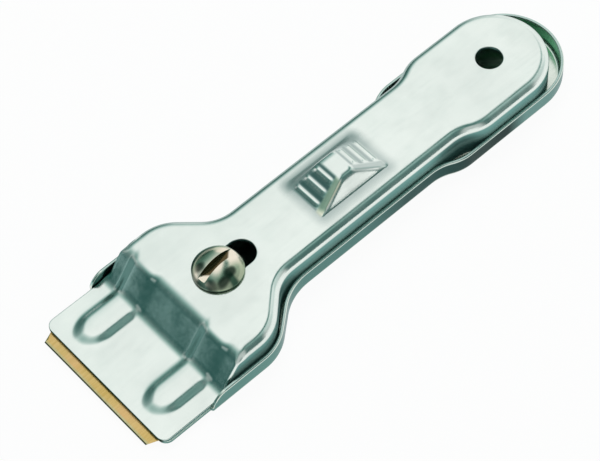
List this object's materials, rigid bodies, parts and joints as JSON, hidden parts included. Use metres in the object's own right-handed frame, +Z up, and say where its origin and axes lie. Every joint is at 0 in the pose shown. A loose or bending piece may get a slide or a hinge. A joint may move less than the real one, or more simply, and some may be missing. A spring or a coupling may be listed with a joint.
{
  "type": "hob scraper",
  "caption": "Hand scraper for hobs and glass: two nested pressed-steel shells slide over a clamped flat blade, held by a coin-slotted screw.",
  "frame": {"origin": "centre of the bounding box in plan, on the table face under the base shell", "axes": "+X towards the blade's cutting edge, +Y to the left of the tool when it points away from the user, +Z up from the table to the screw head"},
  "size_m": [0.1502, 0.046, 0.0163],
  "materials": {
    "base_plating": "bright plated pressed steel, lightly scuffed",
    "cover_plating": "bright plated pressed steel, lightly scuffed",
    "blade_steel": "gold-toned blade with a finely ground edge",
    "screw_nickel": "polished warm nickel plating",
    "bush_metal": "turned metal, hidden between the shells"
  },
  "bodies": {
    "base": {"base_shell": "base_plating", "blade": "blade_steel", "threaded_bush": "bush_metal"},
    "cover": {"cover_shell": "cover_plating"},
    "screw": {"clamp_screw": "screw_nickel"}
  },
  "joints": [
    {"name": "cover_slide", "type": "slide", "parent": "base", "child": "cover", "axis": [1, 0, 0], "range_m": [0, 0.007]},
    {"name": "screw_turn", "type": "hinge", "parent": "base", "child": "screw", "pos_m": [0.0355, 0, 0], "axis": [0, 0, 1], "range_deg": [0, 360]}
  ]
}
